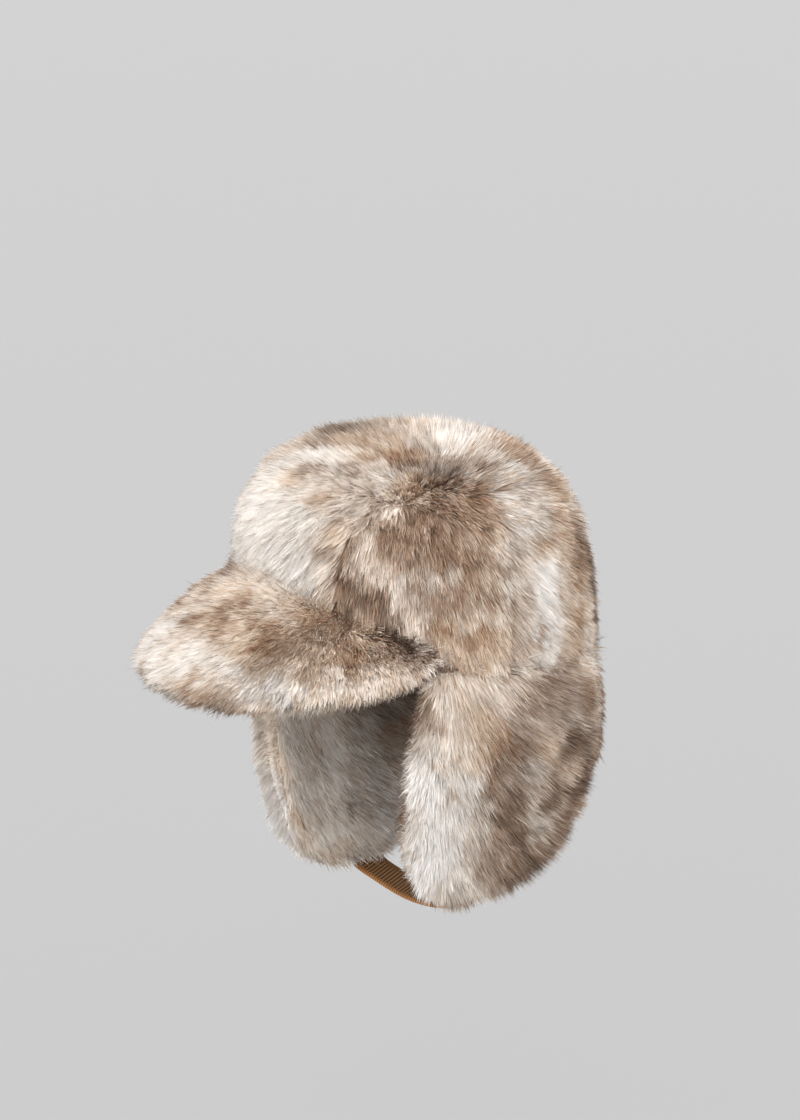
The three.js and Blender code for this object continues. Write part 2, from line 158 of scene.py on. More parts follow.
# %% [markdown]
# The studio is a wide pale floor, an even pale sky and two very soft suns. The key comes from the upper left.
# The fill comes from low down beside the camera, so that it reaches under the peak and in between the flaps.
# A broad sun lights a floor evenly from edge to edge, where a lamp nearby would leave a bright pool on it.

# %% Floor and light
FLOOR_HEIGHT = -0.80
FLOOR_SIZE = 40.0
SKY_STRENGTH = 2.1
FLOOR_COLOUR = "#777777"
LAMP_AWAY = 2.0

bpy.ops.mesh.primitive_plane_add(size=FLOOR_SIZE, location=(0, 0, FLOOR_HEIGHT))
floor = bpy.context.object
floor.name = "floor"
floor_material, _ = new_material("matt_paper_ground", Base_Color=srgb(FLOOR_COLOUR), Roughness=1.0)
floor.data.materials.append(floor_material)

world = bpy.data.worlds.new("pale_studio")
bpy.context.scene.world = world
world.use_nodes = True
world.node_tree.nodes["Background"].inputs["Color"].default_value = srgb("#ffffff")
world.node_tree.nodes["Background"].inputs["Strength"].default_value = SKY_STRENGTH


def sun(name, azimuth, elevation, strength, spread):
    """A soft sun. The azimuth is counted from the camera's own, positive to the right in the picture."""
    a = CAMERA_AZIMUTH + math.radians(azimuth)
    e = math.radians(elevation)
    way = Vector((math.sin(a) * math.cos(e), -math.cos(a) * math.cos(e), math.sin(e)))
    bpy.ops.object.light_add(type="SUN", location=way * LAMP_AWAY)
    lamp = bpy.context.object
    lamp.name = name
    lamp.rotation_euler = way.to_track_quat("Z", "Y").to_euler()
    lamp.data.energy = strength
    lamp.data.angle = math.radians(spread)
    return lamp


sun("key_light", azimuth=-29, elevation=38, strength=3.5, spread=55)
sun("fill_light", azimuth=8, elevation=4, strength=3.9, spread=70)
bpy.context.scene.view_settings.view_transform = "Standard"

# %% [markdown]
# Faux fur is an acrylic pile, dyed in tones that run from white through tan to dark brown.
# Each hair carries two numbers on a UV map of its own: how dark it is dyed, and how warm.
# The material is then a small dye chart: one ramp of greyish tones, one of tan tones, mixed by the warmth.
# The numbers change along a hair, so a hair can have a dark root or a dark tip.
# Vertex colours could hold the same thing, but a chart on a map keeps every tone editable in two ramps.
# Half of the light goes through a hair, so a Translucent shader is mixed in. It keeps the pile's depth soft.

# %% Acrylic pile fur
COOL_TONES = [(0.0, "#f6f4f2"), (0.3, "#cfc7c0"), (0.55, "#978b82"), (0.8, "#5f564f"), (1.0, "#2b2623")]
WARM_TONES = [(0.0, "#f8f1e8"), (0.3, "#dbc7b1"), (0.55, "#ae8a6c"), (0.8, "#6d4f3a"), (1.0, "#2d1e15")]
DYE_MAP = "OFBake"
LIGHT_THROUGH = 0.5

fur_material, fur_shader = new_material("acrylic_pile_fur", Roughness=0.8, Specular_IOR_Level=0.0)
dye = add_node(fur_material, "ShaderNodeUVMap", {"uv_map": DYE_MAP})
dye_numbers = add_node(fur_material, "ShaderNodeSeparateXYZ", inputs={"Vector": dye.outputs["UV"]})
darkness = dye_numbers.outputs["X"]
warmth = dye_numbers.outputs["Y"]
cool = ramp_through(add_node(fur_material, "ShaderNodeValToRGB", inputs={"Fac": darkness}), COOL_TONES)
warm = ramp_through(add_node(fur_material, "ShaderNodeValToRGB", inputs={"Fac": darkness}), WARM_TONES)
chart = add_node(fur_material, "ShaderNodeMix", {"data_type": "RGBA"}, {0: warmth, 6: cool, 7: warm})
fur_material.node_tree.links.new(chart.outputs[2], fur_shader.inputs["Base Color"])
through = add_node(fur_material, "ShaderNodeBsdfTranslucent", inputs={"Color": chart.outputs[2]})
lit = add_node(fur_material, "ShaderNodeMixShader",
               inputs={0: LIGHT_THROUGH, 1: fur_shader.outputs["BSDF"], 2: through.outputs["BSDF"]})
fur_output = fur_material.node_tree.nodes["Material Output"]
fur_material.node_tree.links.new(lit.outputs["Shader"], fur_output.inputs["Surface"])
print(fur_material.name, "of", len(COOL_TONES) + len(WARM_TONES), "tones")

# %% [markdown]
# The pelts. Each one is sewn to a backing, and its hair lies one way, as on the cloth it was cut from.
# On the crown the hair runs away from the whorl, and in each gore it keeps near to that gore's middle line.
# On the flaps it fans out and down, and on the peak it runs from the crown to the edge and hangs over it.

# %% Which way the hair lies
WHORL = np.array([29, 1, 22]) * MM
PEAK_START = np.array([0, -30, -60]) * MM
DOWN = np.array([0.0, 0.0, -1.0])
LEVEL = np.array([1.0, 1.0, 0.0])
COMBED_FROM = 60 * MM
TOWARD_MIDDLE = 0.4
GORE_DROOP = 0.6
SWIRL = 0.24
FORWARD_FAN = 1.9
FAN_REACH = 40 * MM
WHORL_REACH = 34 * MM
WHORL_UPRIGHT = 1.2
PEAK_REACH = 140 * MM
PEAK_UPRIGHT = 0.9
PEAK_BENDS_OVER = 120 * MM
PEAK_DROOP = 0.9


def gore_flow(middle_angle):
    """Hair of a crown gore. The angle is its middle line's, round from the peak. A swirl covers the seams."""
    a = math.radians(middle_angle)
    middle_line = np.array([math.sin(a), -math.cos(a), 0.0])

    def flow(places):
        away = unit(places - WHORL)
        from_whorl = np.linalg.norm((places - WHORL)[:, :2], axis=1, keepdims=True)
        share = np.clip(from_whorl / COMBED_FROM, 0, 1)
        around = unit(np.cross(-DOWN, away))
        return away + share * (TOWARD_MIDDLE * (middle_line + DOWN * GORE_DROOP) + SWIRL * around)

    return flow


def flap_flow(fan, fan_from):
    """Hair of a flap: down, and fanned out sideways from a point above its top, most of all forward."""

    def flow(places):
        sideways = (places - np.array(fan_from) * MM) * LEVEL
        wider = np.where(sideways[:, 1:2] < 0, FORWARD_FAN, 1.0)
        return DOWN + fan * wider * sideways / FAN_REACH

    return flow


def near_whorl(places):
    """How far the hair is still upright, 1 at the whorl and 0 well away from it."""
    away = np.linalg.norm(places - WHORL, axis=1, keepdims=True)
    return np.clip(WHORL_UPRIGHT - away / WHORL_REACH, 0, 1)


def near_peak_root(places):
    """How upright the hair is on the peak: dense and steep by the crown, and laid flat at the edge."""
    out = np.linalg.norm((places - PEAK_START)[:, :2], axis=1, keepdims=True)
    return np.clip(PEAK_UPRIGHT - out / PEAK_REACH, 0, 1)


def peak_flow(places):
    """Hair of the peak: out from the crown, and down at the edge."""
    out = (places - PEAK_START) * LEVEL
    reach = np.linalg.norm(out, axis=1, keepdims=True)
    return unit(out) + DOWN * np.clip(reach / PEAK_BENDS_OVER, 0, 1) * PEAK_DROOP


# %% The table of pelts
# Hair lengths, and the places that the flaps' hair fans out from, are in millimetres.
CROWN_LENGTH = 15.5
CROWN_LIFT = 1.3
PEAK_LENGTH = 14
FLAP_LENGTH = 20
INNER_LENGTH = 15
INNER_DENSITY = 0.85
EAR_FAN = 0.75
EAR_FAN_FROM = (80, -34, 0)
NECK_FAN = 0.2
NECK_FAN_FROM = (0, 80, 0)

GORES = ("front", "left_front", "left_back", "back", "right_back", "right_front")
GORE_ANGLE = 60

PELTS = [
    {"node": f"crown_gore_{gore}", "backing": "crown_lining", "flow": gore_flow(number * GORE_ANGLE),
     "slot": "crown_fur", "length": CROWN_LENGTH, "upright": near_whorl, "lift": CROWN_LIFT}
    for number, gore in enumerate(GORES)
]
PELTS.append({"node": "peak_fur", "backing": "peak_board", "flow": peak_flow, "slot": "peak_fur",
              "length": PEAK_LENGTH, "upright": near_peak_root, "over_rim": True})
for side, sign in (("left", 1), ("right", -1)):
    fan = flap_flow(EAR_FAN, (sign * EAR_FAN_FROM[0], *EAR_FAN_FROM[1:]))
    wall = f"ear_flap_{side}_wall"
    PELTS.append({"node": f"ear_flap_{side}_fur", "backing": wall, "flow": fan,
                  "slot": "flap_fur", "length": FLAP_LENGTH, "over_rim": True})
    PELTS.append({"node": f"ear_flap_{side}_inner_fur", "backing": wall, "flow": fan,
                  "slot": "inner_fur", "length": INNER_LENGTH, "density": INNER_DENSITY})
PELTS.append({"node": "neck_flap_fur", "backing": "neck_flap_wall", "slot": "flap_fur",
              "flow": flap_flow(NECK_FAN, NECK_FAN_FROM), "length": FLAP_LENGTH, "over_rim": True})
print(len(PELTS), "pelts")

# %% [markdown]
# The underfur body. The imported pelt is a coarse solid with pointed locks, which already has the right form.
# A copy of it is merged, and a Shrinkwrap draws its outside down to one even height over its backing,
# because the hair that grows from it has to end where the solid's surface is.
# The face against the backing stays where it is, so the body keeps its thickness and its seams.

# %% Underfur bodies
MERGE_WITHIN = 0.01 * MM
ROOT_LEVEL = 5.0 * MM
INNER_FACE_GAP = 4.4 * MM
INNER_FACING = -0.2


def vertex_rows(mesh, name="co"):
    """A mesh's vertices as an array, a row to each: their places, or with the name normal their normals."""
    rows = np.empty(len(mesh.vertices) * 3)
    mesh.vertices.foreach_get(name, rows)
    return rows.reshape(-1, 3)


def triangle_rows(mesh):
    """The numbers of the vertices of a mesh's triangles, a row to each."""
    mesh.calc_loop_triangles()
    rows = np.empty(len(mesh.loop_triangles) * 3, dtype=int)
    mesh.loop_triangles.foreach_get("vertices", rows)
    return rows.reshape(-1, 3)


def move_vertices(mesh, places):
    """Moves a mesh's vertices to these places."""
    mesh.vertices.foreach_set("co", places.ravel())
    mesh.update()


def select_only(obj):
    """Selects one object and makes it the active one."""
    bpy.ops.object.select_all(action="DESELECT")
    obj.select_set(True)
    bpy.context.view_layer.objects.active = obj


def tree_of(obj):
    """A search tree of an object's faces, at rest."""
    mesh = obj.data
    return BVHTree.FromPolygons([v.co for v in mesh.vertices], [p.vertices for p in mesh.polygons])


def apply_modifier(obj, kind, **settings):
    """Adds a modifier with its settings and applies it."""
    modifier = obj.modifiers.new(kind.lower(), kind)
    for name, value in settings.items():
        setattr(modifier, name, value)
    with bpy.context.temp_override(object=obj, active_object=obj, selected_objects=[obj]):
        bpy.ops.object.modifier_apply(modifier=modifier.name)


def merged_copy(node, name):
    """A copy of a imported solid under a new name, with its loose triangles merged into one skin."""
    select_only(nodes[node])
    bpy.ops.object.duplicate()
    copy = bpy.context.object
    copy.name = name
    copy.parent = None
    bpy.ops.object.mode_set(mode="EDIT")
    bpy.ops.mesh.select_all(action="SELECT")
    bpy.ops.mesh.remove_doubles(threshold=MERGE_WITHIN)
    bpy.ops.object.mode_set(mode="OBJECT")
    return copy


def underfur(pelt):
    """The pelt's underfur body, as a new object. Its group grows holds 1 where hair grows."""
    body = merged_copy(pelt["node"], pelt["node"].replace("_fur", "") + "_pile")
    backing = nodes[pelt["backing"]]
    backing_tree = tree_of(backing)
    grows = body.vertex_groups.new(name="grows")
    for vertex in body.data.vertices:
        place, _, _, distance = backing_tree.find_nearest(vertex.co)
        facing = (place - vertex.co).normalized().dot(vertex.normal)
        if distance > INNER_FACE_GAP or facing < INNER_FACING:
            grows.add([vertex.index], 1.0, "REPLACE")
    apply_modifier(body, "SHRINKWRAP", target=backing, wrap_method="NEAREST_SURFACEPOINT",
                   wrap_mode="ABOVE_SURFACE", offset=ROOT_LEVEL, vertex_group="grows")
    apply_modifier(body, "SUBSURF", levels=1, render_levels=1)
    return body


bodies = {pelt["node"]: underfur(pelt) for pelt in PELTS}
print("underfur triangles:", sum(2 * len(b.data.polygons) for b in bodies.values()))

# %% [markdown]
# The dye. The cloth the hat is cut from is printed and sheared in soft blotches.
# The charts below give the blotches that show in the picture, tone by tone: the pixel where each one lies,
# and how far it reaches in millimetres. A ray from the camera finds the pelt that shows there, and the blotch
# colours that pelt alone, as where two cut pieces of fur meet. Only the crown's gores share some of it.
# Where no blotch reaches, a soft random mottle of the same tones takes over, round the back and inside.
# The six gores share one mottle, and every other pelt has its own.
# Some blotches are no dye but painted shade: the shadow tone and the dark ones along the crease where the
# gore's hair overhangs the peak, and the ash that greys the white fur on the crown's less lit top right.

# %% Tones and blotches
TONES = {
    "white": (0.00, 0.10),
    "pale": (0.10, 0.20),
    "cream": (0.09, 0.58),
    "beige": (0.20, 0.55),
    "tan": (0.31, 0.80),
    "grey": (0.34, 0.15),
    "grey_brown": (0.46, 0.38),
    "red_brown": (0.47, 0.95),
    "brown": (0.53, 0.62),
    "deep_brown": (0.61, 0.64),
    "dark": (0.68, 0.45),
    # shadow is painted shade, for the dark crease where the gore's hair overhangs the peak, not a dye.
    "shadow": (0.90, 0.35),
    "ash": (0.22, 0.08),
}

CROWN_BLOTCHES = {
    "white": [(250, 520, 22), (300, 525, 18), (275, 560, 16), (240, 560, 12), (542, 585, 11)],
    "pale": [(345, 505, 12), (262, 478, 11), (380, 475, 12), (548, 630, 11), (400, 590, 7), (520, 530, 9)],
    "beige": [(295, 446, 12), (370, 420, 10), (400, 440, 13), (470, 478, 6), (590, 635, 8), (562, 605, 6),
        (500, 550, 9), (360, 560, 10), (402, 492, 7), (355, 530, 9), (500, 505, 6)],
    "tan": [(330, 545, 10), (315, 500, 9), (290, 483, 5), (345, 445, 12), (412, 488, 9), (432, 492, 5),
        (562, 500, 9), (572, 525, 8), (330, 598, 7), (345, 614, 8), (418, 500, 7), (468, 658, 7),
        (505, 635, 9)],
    "grey": [(520, 482, 9), (512, 550, 9)],
    "grey_brown": [(322, 562, 7), (315, 440, 8), (303, 473, 6), (335, 425, 8), (520, 598, 9),
        (522, 640, 8), (350, 566, 5), (415, 595, 8), (500, 575, 7)],
    "red_brown": [(362, 630, 7), (482, 640, 8), (440, 632, 9), (470, 640, 8)],
    "brown": [(512, 447, 13), (528, 462, 10), (498, 438, 10), (550, 480, 10), (578, 555, 9),
        (405, 570, 11), (480, 520, 10), (435, 610, 8), (465, 600, 10), (495, 600, 8)],
    "deep_brown": [(400, 540, 12), (440, 515, 12), (450, 550, 12), (425, 545, 10), (475, 560, 10)],
    # The last three dark blotches and all the shadow ones are painted shade along the crease above the peak.
    "dark": [(450, 484, 4), (590, 560, 12), (594, 600, 9), (582, 530, 9), (348, 591, 6), (361, 604, 7),
        (374, 620, 7)],
    "shadow": [(335, 578, 5), (389, 636, 7), (406, 646, 7), (425, 652, 5)],
    # The ash blotches here are white fur painted grey: painted shade on the crown's less lit top right.
    "ash": [(425, 460, 9), (430, 430, 8), (470, 430, 13), (440, 448, 9), (450, 462, 6), (495, 468, 8),
        (508, 492, 10), (540, 515, 9)],
}
PEAK_BLOTCHES = {
    "white": [(300, 585, 12), (160, 640, 16), (190, 655, 14), (180, 620, 10), (220, 670, 10),
        (285, 692, 10), (240, 680, 9), (150, 665, 11)],
    "cream": [(240, 585, 11), (266, 594, 8), (215, 600, 9), (290, 620, 9), (190, 602, 9), (208, 588, 7),
        (330, 692, 10), (370, 690, 10), (220, 692, 9), (250, 700, 9), (238, 642, 9), (320, 580, 8)],
    "beige": [(290, 602, 8), (250, 622, 10), (252, 670, 6), (405, 680, 9), (330, 600, 8), (205, 636, 8)],
    "tan": [(308, 616, 8), (328, 632, 10), (285, 640, 9), (318, 650, 10), (365, 640, 8), (312, 674, 8),
        (340, 600, 8), (352, 620, 8)],
    # Grey-brown, deep-brown, dark and shadow blotches here are painted shade in the crease under the gore's
    # hair.
    "grey_brown": [(415, 655, 8), (430, 668, 7)],
    "red_brown": [(345, 660, 9)],
    "brown": [(390, 650, 7)],
    "deep_brown": [(395, 654, 7)],
    "dark": [(374, 622, 4)],
    "shadow": [(390, 638, 6), (408, 648, 8), (428, 656, 6)],
}
FLAP_BLOTCHES = {
    "white": [(420, 785, 13), (440, 830, 14), (430, 870, 13), (272, 790, 13), (290, 825, 12)],
    "pale": [(465, 780, 8), (300, 795, 8)],
    "cream": [(450, 680, 9), (440, 710, 8), (475, 885, 8), (262, 730, 11), (271, 754, 9), (266, 770, 9),
        (300, 760, 10), (300, 725, 9), (285, 735, 9), (283, 755, 9), (335, 735, 10), (330, 785, 8),
        (325, 825, 13), (355, 835, 9), (320, 795, 10)],
    "beige": [(480, 690, 9), (500, 690, 8), (450, 735, 9), (440, 893, 8), (470, 830, 8), (375, 845, 8),
        (350, 770, 8), (402, 790, 8)],
    "tan": [(480, 740, 9), (545, 745, 9), (262, 710, 9), (345, 855, 7)],
    "grey": [(530, 770, 8), (380, 770, 11)],
    "grey_brown": [(425, 725, 8), (490, 860, 10), (520, 720, 9), (560, 690, 13), (385, 740, 9),
        (395, 750, 7)],
    "brown": [(490, 780, 9), (585, 700, 9), (545, 845, 10), (564, 815, 8), (590, 690, 8), (505, 760, 7)],
    "dark": [(500, 820, 9), (572, 740, 10), (580, 764, 9), (575, 785, 9), (515, 800, 9), (552, 795, 10),
        (518, 842, 8), (522, 870, 12), (565, 835, 8), (592, 735, 8)],
    "ash": [(425, 755, 9), (385, 815, 9)],
}

pelt_trees = {pelt["node"]: tree_of(nodes[pelt["node"]]) for pelt in PELTS}
marks = [(tone, *mark) for chart in (CROWN_BLOTCHES, PEAK_BLOTCHES, FLAP_BLOTCHES)
         for tone, places in chart.items() for mark in places]
blotches = []
for tone, x, y, radius in marks:
    hits = [(tree.ray_cast(Vector(camera_place), pixel_direction(x, y)), node)
            for node, tree in pelt_trees.items()]
    hits = [(hit[3], node, hit[0]) for hit, node in hits if hit[0] is not None]
    if not hits:
        print("no fur under", x, y)
        continue
    _, node, place = min(hits, key=lambda hit: hit[0])
    blotches.append((node, np.array(place), radius * MM, TONES[tone]))
print(len(blotches), "blotches")


# %% Random mottle
LATTICE = 32
FAR_CORNER = 1000
NOISE_LEAST = 0.22
NOISE_RANGE = 0.56


def lattice_noise(places, cell, seed):
    """Smooth noise from 0 to 1, from random numbers on a lattice with this cell size."""
    grid = np.random.default_rng(seed).random((LATTICE,) * 3)
    at = places / cell + FAR_CORNER
    low = np.floor(at).astype(int)
    share = at - low
    share = share * share * (3 - 2 * share)
    total = np.zeros(len(places))
    for corner in range(8):
        step = np.array([corner & 1, corner >> 1 & 1, corner >> 2 & 1])
        weight = np.where(step, share, 1 - share).prod(axis=1)
        x, y, z = ((low + step) % LATTICE).T
        total += weight * grid[x, y, z]
    return total


def stretched(noise, least, most):
    """Noise with its middle range spread out between two values."""
    return least + (most - least) * np.clip((noise - NOISE_LEAST) / NOISE_RANGE, 0, 1)


BACKGROUND_SHARE = 0.06
ACROSS_SEAMS = 0.3
BLOTCH_FALL = 1.6
BROAD_CELL = 34 * MM
FINE_CELL = 12 * MM
TINT_CELL = 26 * MM
BROAD_SHARE = 0.7
FINE_SHARE = 0.3
DARKNESS_RANGE = (0.0, 0.56)
WARMTH_RANGE = (0.15, 0.85)


def share_of(node, other):
    """How strongly a blotch on one pelt colours another, because hair crosses the crown's seams."""
    if node == other:
        return 1.0
    return ACROSS_SEAMS if node.startswith("crown") and other.startswith("crown") else 0.0


def dye_at(places, node, seed):
    """How dark and how warm the fur of a node is at these places."""
    broad = lattice_noise(places, BROAD_CELL, seed)
    fine = lattice_noise(places, FINE_CELL, seed + 1)
    tint = lattice_noise(places, TINT_CELL, seed + 2)
    mottle = BROAD_SHARE * broad + FINE_SHARE * fine
    own = np.stack([stretched(mottle, *DARKNESS_RANGE), stretched(tint, *WARMTH_RANGE)], axis=1)
    total = own * BACKGROUND_SHARE
    weights = np.full((len(places), 1), BACKGROUND_SHARE)
    for other, centre, radius, tone in blotches:
        share = share_of(node, other)
        if share == 0:
            continue
        distance = np.linalg.norm(places - centre, axis=1, keepdims=True)
        weight = share * np.exp(-BLOTCH_FALL * (distance / radius) ** 2)
        total += weight * np.array(tone)
        weights += weight
    return total / weights


# %% [markdown]
# The hair. A hair here is a thin bent blade with a root edge, a middle and a pointed tip: two triangles.
# It leaves the skin steeply and bends over until it lies along the pelt, which gives the pile its depth.
# First comes the skin that it grows from: the underfur's outside, the rims of the flaps and of the peak, and
# the cut sides of the flap pelts. Hair on the tops alone would leave dark slits where two pelts meet.

# %% Where hair grows
GROWS_FROM = 0.45
BARE_LEVEL = 3.4 * MM
AWAY_SHARE = 0.6
SIDE_LEVEL = 1.0 * MM
SIDE_FACING = 0.6
SIDE_LIFT = 0.25
RIM_WIDTH = 3.3 * MM
RIM_FACES_UP = 0.5
RIM_THICKER = 1.6


def skin_of(body, backing, with_sides):
    """Triangles of a body where hair grows: corners, their normals, areas, and 1 for being on its sides.

    The normals lean away from the backing, so that hair stands evenly where the body has small folds."""
    mesh = body.data
    corners = triangle_rows(mesh)
    places = vertex_rows(mesh)
    group = body.vertex_groups["grows"].index
    grows = np.array([max((g.weight for g in v.groups if g.group == group), default=0.0)
                      for v in mesh.vertices])
    backing_tree = tree_of(backing)
    nearest = [backing_tree.find_nearest(Vector(place)) for place in places]
    away = unit(places - np.array([near[0] for near in nearest]))
    level = np.array([near[3] for near in nearest])[corners]
    a, b, c = places[corners].transpose(1, 0, 2)
    facets = np.cross(b - a, c - a)
    outward = (unit(facets) * away[corners].mean(axis=1)).sum(axis=1)
    bare = (level.min(axis=1) > BARE_LEVEL) & (outward > 0)
    top = (grows[corners].min(axis=1) > GROWS_FROM) | bare
    sides = ~top & (level.mean(axis=1) > SIDE_LEVEL) & (np.abs(outward) < SIDE_FACING) & with_sides
    here = top | sides
    normals = unit(vertex_rows(mesh, "normal") * (1 - AWAY_SHARE) + away * AWAY_SHARE)[corners]
    sideways = unit(unit(facets)[:, None] + SIDE_LIFT * away[corners])
    normals = np.where(sides[:, None, None], sideways, normals)
    areas = np.linalg.norm(facets[here], axis=1) / 2
    return places[corners[here]], normals[here], areas, sides[here].astype(float)


def rim_of(wall):
    """Triangles on the rim of a wall, apart from its upper edge, as skin_of gives them, but with 1."""
    mesh = wall.data
    corners = vertex_rows(mesh)[triangle_rows(mesh)]
    normals = np.array([t.normal for t in mesh.loop_triangles])
    sides = np.linalg.norm(corners - np.roll(corners, 1, axis=1), axis=2)
    rim = (sides.min(axis=1) < RIM_WIDTH) & (normals[:, 2] < RIM_FACES_UP)
    a, b, c = corners[rim].transpose(1, 0, 2)
    areas = np.linalg.norm(np.cross(b - a, c - a), axis=1) / 2
    normals = np.repeat(normals[rim][:, None], 3, axis=1)
    return corners[rim], normals, areas * RIM_THICKER, np.ones(len(areas))


def scatter(skin, count, rng):
    """Random places on a skin, with the normals there, and 1 for those on a rim or a side."""
    places, normals, areas, on_rim = skin
    chosen = rng.choice(len(areas), count, p=areas / areas.sum())
    u, v = rng.random((2, count, 1))
    over = u + v > 1
    u, v = np.where(over, 1 - u, u), np.where(over, 1 - v, v)
    weights = [1 - u - v, u, v]
    root = sum(w * places[chosen, k] for k, w in enumerate(weights))
    normal = unit(sum(w * normals[chosen, k] for k, w in enumerate(weights)))
    return root, normal, on_rim[chosen][:, None]


# %% [markdown]
# Combing. Loose hairs look like grass, so they are drawn together twice, in fine wisps and in broader clumps.
# Each wisp or clump has a leader, a hair that isn't shown, and the hairs nearest to it lean towards its tip.

# %% Combing
ROOT_SLOPE = math.radians(58)
TIP_SLOPE = math.radians(29)
UPRIGHT_ROOT_SLOPE = math.radians(82)
UPRIGHT_TIP_SLOPE = math.radians(66)
LIFT_SPREAD = 0.25
MOST_SPREADS = 1.6
RIM_UPRIGHT = 0.5
RIM_STRAY = 0.9
START_SHARE = 0.45
END_SHARE = 0.55
LEADER_STRAY = 0.22
LEADER_LENGTHS = (0.6, 1.3)


def nearest_of(centres, places):
    """For each place, the number of the nearest centre."""
    tree = KDTree(len(centres))
    for index, centre in enumerate(centres):
        tree.insert(centre, index)
    tree.balance()
    return np.array([tree.find(place)[1] for place in places])


def combed(root, normal, on_rim, pelt, rng, stray):
    """Directions of hairs at the root and at the tip. On a rim they stand more upright and stray more."""
    along = pelt["flow"](root)
    along = unit(along - normal * (along * normal).sum(axis=1, keepdims=True))
    along = unit(along + (stray + RIM_STRAY * on_rim) * rng.normal(size=along.shape))
    along = unit(along - normal * (along * normal).sum(axis=1, keepdims=True))
    lift = 1 + LIFT_SPREAD * rng.normal(size=(len(root), 1)).clip(-MOST_SPREADS, MOST_SPREADS)
    upright = pelt["upright"](root) if "upright" in pelt else 0.0
    upright = np.maximum(upright, on_rim * RIM_UPRIGHT)
    root_slope = ROOT_SLOPE + upright * (UPRIGHT_ROOT_SLOPE - ROOT_SLOPE)
    lift = lift * pelt.get("lift", 1.0)
    tip_slope = lift * (TIP_SLOPE + upright * (UPRIGHT_TIP_SLOPE / pelt.get("lift", 1.0) - TIP_SLOPE))
    start = along * np.cos(root_slope) + normal * np.sin(root_slope)
    end = along * np.cos(tip_slope) + normal * np.sin(tip_slope)
    return start, end


def tip_of(root, length, start, end):
    """Where hairs end, from their directions at the root and at the tip."""
    return root + length * (START_SHARE * start + END_SHARE * end)


def leaders(pelt, skin, spacing, spread, hair_roots, rng):
    """Leaders this far apart on a skin: how many, which of them is nearest to each hair, and its tip."""
    root, normal, on_rim = scatter(skin, int(skin[2].sum() / spacing**2), rng)
    start, end = combed(root, normal, on_rim, pelt, rng, LEADER_STRAY)
    length = pelt["length"] * MM * rng.normal(1.0, spread, (len(root), 1)).clip(*LEADER_LENGTHS)
    nearest = nearest_of(root, hair_roots)
    return {"count": len(root), "nearest": nearest, "tip": tip_of(root, length, start, end)[nearest]}


# %% [markdown]
# Shearing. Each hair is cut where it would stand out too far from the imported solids, as a furrier shears a
# pelt. A few guard hairs stay longer than the rest, and so does the pile on top of the crown, at the peak's
# edge and at the flaps' hems. Round the flaps' rims it is cut shorter.

# %% Shearing
STANDS_OUT = 7.0 * MM
STANDS_OUT_SHARES = (0.1, 1.0)
FEW_STAND_OUT = 1.7
GUARD_HAIR_EXTRA = 1.2 * MM
CROWN_LOFT = 3.5 * MM
HANGING_LOFT = 5.0 * MM
HANGING_REACH = 24 * MM
RIM_SHORTER = 0.7
PEAK_FRINGE = 2.5 * MM
LEAST_LEFT = 0.25
RAY_WAY = Vector((0.37, -0.21, 0.90)).normalized()
RAY_STEP = 0.001 * MM
MOST_CROSSINGS = 60


def tree_of_all(objects):
    """One search tree of the faces of several objects."""
    corners, faces = [], []
    for obj in objects:
        start = len(corners)
        corners.extend(v.co.copy() for v in obj.data.vertices)
        faces.extend([start + v for v in p.vertices] for p in obj.data.polygons)
    return BVHTree.FromPolygons(corners, faces)


solid_tree = tree_of_all(obj for name, obj in nodes.items() if name not in ("chin_strap", "strap_clasp"))


def inside(place):
    """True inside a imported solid, where a ray crosses an odd number of faces."""
    crossings = 0
    hit = solid_tree.ray_cast(place, RAY_WAY)[0]
    while hit is not None and crossings < MOST_CROSSINGS:
        crossings += 1
        hit = solid_tree.ray_cast(hit + RAY_WAY * RAY_STEP, RAY_WAY)[0]
    return crossings % 2 == 1


def allowed_out(pelt, root, normal, on_rim, guard, rng):
    """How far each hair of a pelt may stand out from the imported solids."""
    share = rng.uniform(*STANDS_OUT_SHARES, len(root)) ** FEW_STAND_OUT
    allowed = STANDS_OUT * share + guard[:, 0] * GUARD_HAIR_EXTRA
    if pelt["slot"] == "peak_fur":
        allowed = allowed + PEAK_FRINGE * on_rim[:, 0]
    else:
        allowed = allowed * (1 - (1 - RIM_SHORTER) * on_rim[:, 0])
    if pelt["slot"] == "crown_fur":
        allowed = allowed + CROWN_LOFT * normal[:, 2].clip(0, 1) ** 2
    if pelt["slot"] == "flap_fur":
        above_bottom = root[:, 2] - root[:, 2].min()
        allowed = allowed + HANGING_LOFT * (1 - above_bottom / HANGING_REACH).clip(0, 1) ** 0.5
    return allowed


def sheared(root, tip, allowed):
    """The hairs' tips, each drawn back towards its root where it would stand out further than allowed."""
    tip = tip.copy()
    for index in range(len(root)):
        place = Vector(tip[index])
        near, face_normal, _, distance = solid_tree.find_nearest(place)
        if distance <= allowed[index] or ((place - near).dot(face_normal) < 0 and inside(place)):
            continue
        reach = np.linalg.norm(tip[index] - root[index])
        keep = max(LEAST_LEFT, 1 - (distance - allowed[index]) / reach)
        tip[index] = root[index] + keep * (tip[index] - root[index])
    return tip


# %% [markdown]
# Dyeing. A hair takes its tone from the place over which its outer part shows, shifted a little at random,
# so that the blotches have hairy edges. Its root is painted darker, as painted shade deep in the pile,
# and the guard hairs have dark tips.

# %% Dyeing, and painted shade at the roots
SHOWS_AT = 0.75
HAIR_SHIFT = 2.2 * MM
CLUMP_SHIFT = 3.0 * MM
HAIR_DARKNESS = 0.07
WISP_DARKNESS = 0.05
HAIR_WARMTH = 0.12
